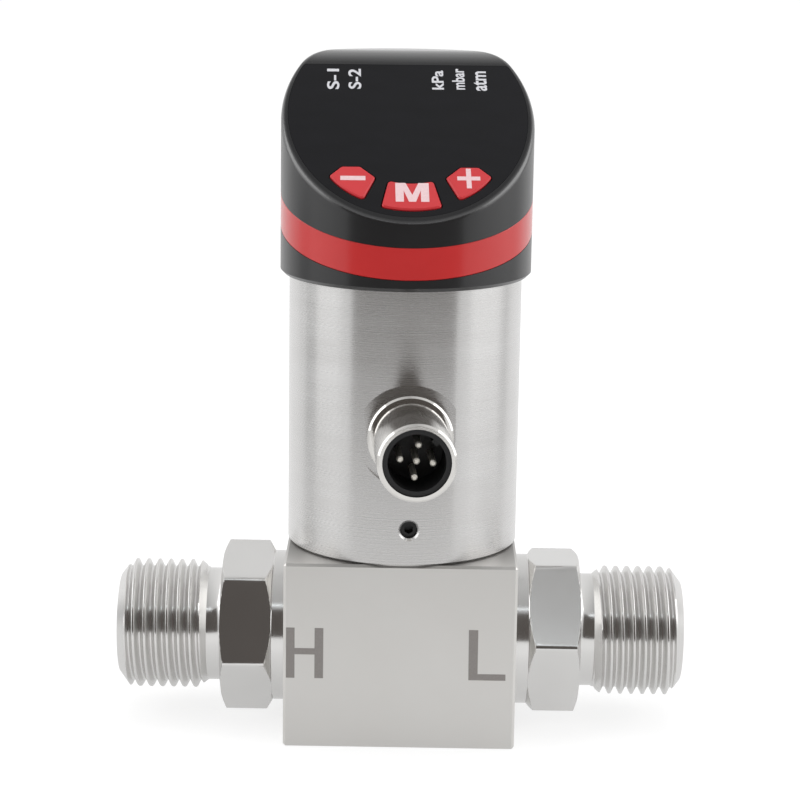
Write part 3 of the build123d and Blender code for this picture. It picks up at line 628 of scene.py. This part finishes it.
def add_fitting(side, name):
    """One port fitting with its thread, on the side +1 or -1."""
    lean = radians(flat_leans[name])
    outward = Vector((side, 0, 0))
    level = Vector((0, side, 0))
    upright = Vector((0, 0, 1))
    centre = Vector((0, 0, port_height))
    first_angle = lean if side < 0 else pi - lean
    angles = round_angles()
    shaped = bmesh.new()

    def corner(along, radius, angle):
        turn = angle + first_angle
        spot = centre + outward * along + (level * cos(turn) + upright * sin(turn)) * radius
        return shaped.verts.new(spot * MM)

    rings = [
        [corner(along, shape(angle), angle) for angle in angles]
        for along, shape in fitting_stations()
    ]
    for ring, after in zip(rings, rings[1:]):
        add_strip(shaped, ring + ring[:1], after + after[:1])
    lines = len(thread_form)
    line_count = round((thread_end - helix_start) / thread_pitch + 1) * lines
    threads = [
        [corner(*thread_spot(count, angle), angle) for angle in angles]
        for count in range(-lines, line_count + lines)
    ]
    for index in range(line_count + lines - 1):
        ring, after = threads[index], threads[index + 1]
        add_strip(
            shaped, ring + threads[index + lines][:1], after + threads[index + lines + 1][:1]
        )
    bmesh.ops.remove_doubles(shaped, verts=shaped.verts, dist=weld_reach * MM)
    bmesh.ops.dissolve_degenerate(shaped, edges=shaped.edges, dist=weld_reach * MM)
    mesh = bpy.data.meshes.new(name + "_turned_fitting")
    shaped.to_mesh(mesh)
    shaped.free()
    shade_smooth(mesh, smooth_angle)
    piece = add_piece(name + "_turned_fitting", mesh, finishes["fitting_steel"], "base")
    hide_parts(name + "_fitting")


# Signs and letters, as thin flat shapes


def block_plane():
    """The block's front face: x to the right, z up, out of the face towards the front."""
    return Matrix(((1, 0, 0, 0), (0, 0, -1, -block_front), (0, 1, 0, 0), (0, 0, 0, 1)))


def face_plane(proud):
    """The slanted face: across, up the slope, and out of the face by proud."""
    return (
        Matrix.Rotation(radians(head_turn), 4, "Z")
        @ Matrix.Translation((0, 0, face_height))
        @ Matrix.Rotation(radians(face_tilt), 4, "X")
        @ Matrix.Translation((0, 0, proud))
    )


def add_sign(name, outlines, plane, finish, body):
    """A flat sign from closed outlines in a plane, half sunk in it and a hair proud of it."""
    shaped = bmesh.new()
    for outline in outlines:
        low = [shaped.verts.new((across, up, -sign_thickness)) for across, up in outline]
        high = [shaped.verts.new((across, up, sign_thickness)) for across, up in outline]
        shaped.faces.new(high)
        shaped.faces.new(low[::-1])
        for index in range(len(outline)):
            after = (index + 1) % len(outline)
            shaped.faces.new((low[index], low[after], high[after], high[index]))
    shaped.normal_update()
    bmesh.ops.triangulate(shaped, faces=list(shaped.faces), ngon_method="EAR_CLIP")
    shaped.transform(Matrix.Scale(MM, 4) @ plane)
    mesh = bpy.data.meshes.new(name)
    shaped.to_mesh(mesh)
    shaped.free()
    return add_piece(name, mesh, finish, body)


def bar(left, low, right, high):
    """A rectangle's corners."""
    return [(left, low), (right, low), (right, high), (left, high)]


# The letters on the block, as points across and up its front face
letter_h = [
    (-17.83, 11.42), (-16.48, 11.42), (-16.48, 15.3), (-13.35, 15.3), (-13.35, 11.42),
    (-11.98, 11.42), (-11.98, 19.65), (-13.35, 19.65), (-13.35, 16.32), (-16.48, 16.32),
    (-16.48, 19.65), (-17.83, 19.65),
]
letter_l = [
    (10.87, 11.48), (16.7, 11.48), (16.7, 12.5), (12.3, 12.5), (12.28, 19.72), (10.8, 19.72),
]

# The signs on the keys: left, low, right and high across and up the slanted face, the M's stem
# and how its strokes meet as shares of the stem and of its height, and the plus's middle and arms
minus_sides = (-10.76, -15.62, -6.93, -14.68)
mode_sides = (-2.42, -20.25, 2.68, -16.15)
mode_stem = 1.25
mode_tip_share = 0.42
mode_top_share = 1.25
mode_shoulder_share = 0.6
mode_notch_share = 0.36
plus_middle = (8.87, -15.02)
plus_arm_across = 1.76
plus_arm_up = 2.18
plus_half_upright = 0.38
plus_half_level = 0.42


def letter_m(left, low, right, high):
    """A heavy M whose middle reaches the line."""
    middle = (left + right) / 2
    height = high - low
    tip = mode_stem * mode_tip_share
    top = mode_stem * mode_top_share
    shoulder = low + height * mode_shoulder_share
    return [
        (left, low), (left + mode_stem, low), (left + mode_stem, shoulder), (middle - tip, low),
        (middle + tip, low), (right - mode_stem, shoulder), (right - mode_stem, low),
        (right, low), (right, high), (right - top, high),
        (middle, low + height * mode_notch_share), (left + top, high), (left, high),
    ]


def plus_shape():
    """A plus whose arms are a little longer up than across."""
    long, wide = plus_arm_up, plus_arm_across
    level, upright = plus_half_level, plus_half_upright
    points = [
        (-upright, -long), (upright, -long), (upright, -level), (wide, -level), (wide, level),
        (upright, level), (upright, long), (-upright, long), (-upright, level), (-wide, level),
        (-wide, -level), (-upright, -level),
    ]
    return [(plus_middle[0] + across, plus_middle[1] + up) for across, up in points]


def add_signs():
    """H and L on the block, and the signs on the three keys."""
    front = block_plane()
    key_top = face_plane(key_proud)
    add_sign("high_side_letter", [letter_h], front, etched, "base")
    add_sign("low_side_letter", [letter_l], front, etched, "base")
    add_sign("minus_sign", [bar(*minus_sides)], key_top, key_print, "minus_key")
    add_sign("mode_letter", [letter_m(*mode_sides)], key_top, key_print, "mode_key")
    add_sign("plus_sign", [plus_shape()], key_top, key_print, "plus_key")


# The words on the window, each with its left, low, right and high on the slanted face
label_words = {
    "first_output_label": ("S-1", -12.67, 5.63, -10.72, 10.5),
    "second_output_label": ("S-2", -9.28, 5.75, -7.24, 10.55),
    "first_unit_label": ("kPa", 3.98, 5.78, 5.88, 10.35),
    "second_unit_label": ("mbar", 7.22, 5.83, 9.25, 10.85),
    "third_unit_label": ("atm", 10.6, 5.58, 12.73, 10.25),
}


def add_label(name, word, left, low, right, high):
    """A word that reads up the slanted face and fills its rectangle there."""
    text = bpy.data.curves.new(name, "FONT")
    text.body = word
    text.offset = stroke_offset
    text.extrude = stroke_extrude
    drawn = bpy.data.objects.new(name, text)
    bpy.context.scene.collection.objects.link(drawn)
    bpy.context.view_layer.update()
    mesh = bpy.data.meshes.new_from_object(drawn)
    bpy.data.objects.remove(drawn)
    across = [vertex.co.x for vertex in mesh.vertices]
    up = [vertex.co.y for vertex in mesh.vertices]
    length = max(across) - min(across)
    height = max(up) - min(up)
    fitted = (
        face_plane(0)
        @ Matrix.Translation((right, low, 0))
        @ Matrix.Rotation(pi / 2, 4, "Z")
        @ Matrix.Diagonal(
            ((high - low) / length, (right - left) / height, sign_thickness / stroke_extrude, 1)
        )
        @ Matrix.Translation((-min(across), -min(up), 0))
    )
    mesh.transform(Matrix.Scale(MM, 4) @ fitted)
    mesh.name = name
    add_piece(name, mesh, window_print, "head")


# Studio: floor, dark screen behind the camera, a flag at each side, world and lamps, in metres

# Floor: how much of it glows where it is seen and where it is mirrored, and how strongly
floor_half = 4.0
floor_glow = 1.2
glow_where_seen = 0.62
glow_where_mirrored = 0.85

# Mirrored floor, painted shade: where its darker patch under the object lies and how far it
# reaches, and where it starts and ends getting darker at the object's sides
mirror_shade_offset = 0.01
mirror_shade_squash = 0.25
mirror_shade_reach = 0.05
mirror_shade_side_start = 0.06
mirror_shade_side_end = 0.14

# World: its light, and how bright it is in mirrors, with more behind, at the sides and high there
world_light = 0.78
mirrored_level = 0.58
mirrored_behind = 0.25
mirrored_sides = 0.2
mirrored_high_sides = 0.4

# Screens' steps in degrees, and the point that the lamps look at
screen_step = 3
lamp_aim = Vector((0, 0, 0.05))


def stage_piece(name, mesh, finish):
    """A piece of the studio, which isn't part of the object."""
    mesh.materials.append(finish)
    piece = bpy.data.objects.new(name, mesh)
    bpy.context.scene.collection.objects.link(piece)
    return piece


def rays_to(made, kind):
    """One for a kind of ray, such as those from the camera, and nothing for others."""
    return Value(made, made.node("ShaderNodeLightPath").socket.node.outputs[kind])


def add_floor():
    """A pale floor that stays near white and keeps the object's shadow, with painted shade where
    it is mirrored.
    """
    made = new_finish("pale_floor")
    place = made.place()
    soft = made.noise(place, scale=3, detail=2)
    lit = made.node(
        "ShaderNodeBsdfDiffuse",
        sockets={"Color": made.mixed(soft, colour(0.88, 0.88, 0.88), colour(0.9, 0.9, 0.9))},
    )
    glossy = rays_to(made, "Is Glossy Ray")
    # Painted shade: where polished surfaces mirror it, the floor is darker under the object and
    # beside it
    across, along = made.parts_of(place)[:2]
    off_centre = across + mirror_shade_offset
    reach = (mirror_shade_squash * off_centre * off_centre + along * along) ** 0.5
    away = made.node(
        "ShaderNodeMapRange", sockets={"Value": reach, "From Min": 0.0, "From Max": mirror_shade_reach}
    )
    beside = made.node(
        "ShaderNodeMapRange",
        sockets={
            "Value": (across * across) ** 0.5 - (along * along) ** 0.5,
            "From Min": mirror_shade_side_start, "From Max": mirror_shade_side_end,
        },
    )
    mirrored = made.mixed(away, colour(0.56, 0.56, 0.56), colour(0.78, 0.78, 0.78))
    mirrored = made.mixed(beside, mirrored, colour(0.6, 0.6, 0.6))
    glow_colour = made.mixed(glossy, colour(1, 1, 1), mirrored)
    glow = made.node("ShaderNodeEmission", sockets={"Color": glow_colour, "Strength": floor_glow})
    seen = rays_to(made, "Is Camera Ray") + rays_to(made, "Is Transmission Ray")
    share = glow_where_seen * seen + glow_where_mirrored * glossy
    shown = made.node("ShaderNodeMixShader", sockets={0: share, 1: lit, 2: glow})
    made.node("ShaderNodeOutputMaterial", sockets={"Surface": shown})
    mesh = bpy.data.meshes.new("floor")
    corners = [(-1, -1), (1, -1), (1, 1), (-1, 1)]
    mesh.from_pydata([(x * floor_half, y * floor_half, 0) for x, y in corners], [], [(0, 1, 2, 3)])
    stage_piece("floor", mesh, made.owner)


def add_screen(name, turns, radius, low, top, dark, bright):
    """Part of the studio's wall round the object, which only polished surfaces show."""
    made = new_finish(name)
    place = made.place()
    drift = made.noise(place, scale=8, detail=1)
    glow = made.node("ShaderNodeEmission", sockets={"Color": made.mixed(drift, dark, bright)})
    made.node("ShaderNodeOutputMaterial", sockets={"Surface": glow})
    spots = [
        (radius * sin(radians(turn)), -radius * cos(radians(turn)), height)
        for turn in steps(*turns, screen_step)
        for height in (low, top)
    ]
    quads = [(i, i + 2, i + 3, i + 1) for i in range(0, len(spots) - 2, 2)]
    mesh = bpy.data.meshes.new(name)
    mesh.from_pydata(spots, [], quads)
    piece = stage_piece(name, mesh, made.owner)
    piece.visible_camera = False
    piece.visible_diffuse = False
    piece.visible_shadow = False


def add_world():
    """White where it is seen, a little softer where it lights, and shaded in mirrors."""
    world = bpy.data.worlds.new("studio")
    bpy.context.scene.world = world
    made = Finish(world)
    plain = colour(1, 1, 1)
    light = made.node("ShaderNodeBackground", sockets={"Color": plain, "Strength": world_light})
    across, along, up = made.parts_of(made.node("ShaderNodeTexCoord"))
    sideways = (across * across) ** 0.5
    shade = mirrored_level + mirrored_behind * along + mirrored_sides * sideways
    shade = shade + mirrored_high_sides * sideways * up
    mirrored = made.node("ShaderNodeBackground", sockets={"Color": shade, "Strength": 1.0})
    white = made.node("ShaderNodeBackground", sockets={"Color": plain, "Strength": 1.0})
    glossy, seen = rays_to(made, "Is Glossy Ray"), rays_to(made, "Is Camera Ray")
    through = rays_to(made, "Is Transmission Ray")
    shown = made.node("ShaderNodeMixShader", sockets={0: glossy, 1: light, 2: mirrored})
    shown = made.node("ShaderNodeMixShader", sockets={0: seen + through, 1: shown, 2: white})
    made.node("ShaderNodeOutputWorld", sockets={"Surface": shown})


def add_lamp(name, place, width, height, power, mirrored=True, tint=(1, 1, 1)):
    """A soft lamp that looks at the object's middle, and may be left out of mirrors."""
    data = bpy.data.lights.new(name, "AREA")
    data.shape = "RECTANGLE"
    data.size = width
    data.size_y = height
    data.energy = power
    data.color = tint
    lamp = bpy.data.objects.new(name, data)
    bpy.context.scene.collection.objects.link(lamp)
    lamp.location = place
    lamp.rotation_euler = (lamp_aim - Vector(place)).to_track_quat("-Z", "Y").to_euler()
    lamp.visible_glossy = mirrored


bpy.context.scene.view_settings.view_transform = "Standard"
add_camera()
add_world()
add_floor()
add_screen(
    "dark_screen", turns=(-51, 51), radius=0.26, low=0.004, top=0.225,
    dark=colour(0.085, 0.076, 0.071), bright=colour(0.12, 0.108, 0.1)
)
add_screen(
    "left_flag", turns=(-110, -93), radius=0.22, low=0, top=0.06,
    dark=colour(0.38, 0.38, 0.38), bright=colour(0.46, 0.46, 0.46)
)
add_screen(
    "right_flag", turns=(104, 118), radius=0.22, low=0, top=0.06,
    dark=colour(0.6, 0.6, 0.6), bright=colour(0.68, 0.68, 0.68)
)
add_lamp("left_lamp", (-0.8, -0.02, 0.4), width=0.8, height=0.8, power=2.25)
add_lamp("right_lamp", (0.8, 0.0, 0.38), width=0.8, height=0.8, power=2.4)
add_lamp("top_lamp", (0.0, 0.15, 0.9), width=0.6, height=0.6, power=1.4, mirrored=False)
add_lamp(
    "front_strip", (0.0, -0.42, 0.45), width=0.5, height=0.025, power=0.055,
    tint=(0.9, 0.96, 1.0)
)

dress_nodes()
add_fitting(-1, "high_side")
add_fitting(1, "low_side")
add_signs()
for label, (word, *corners) in label_words.items():
    add_label(label, word, *corners)
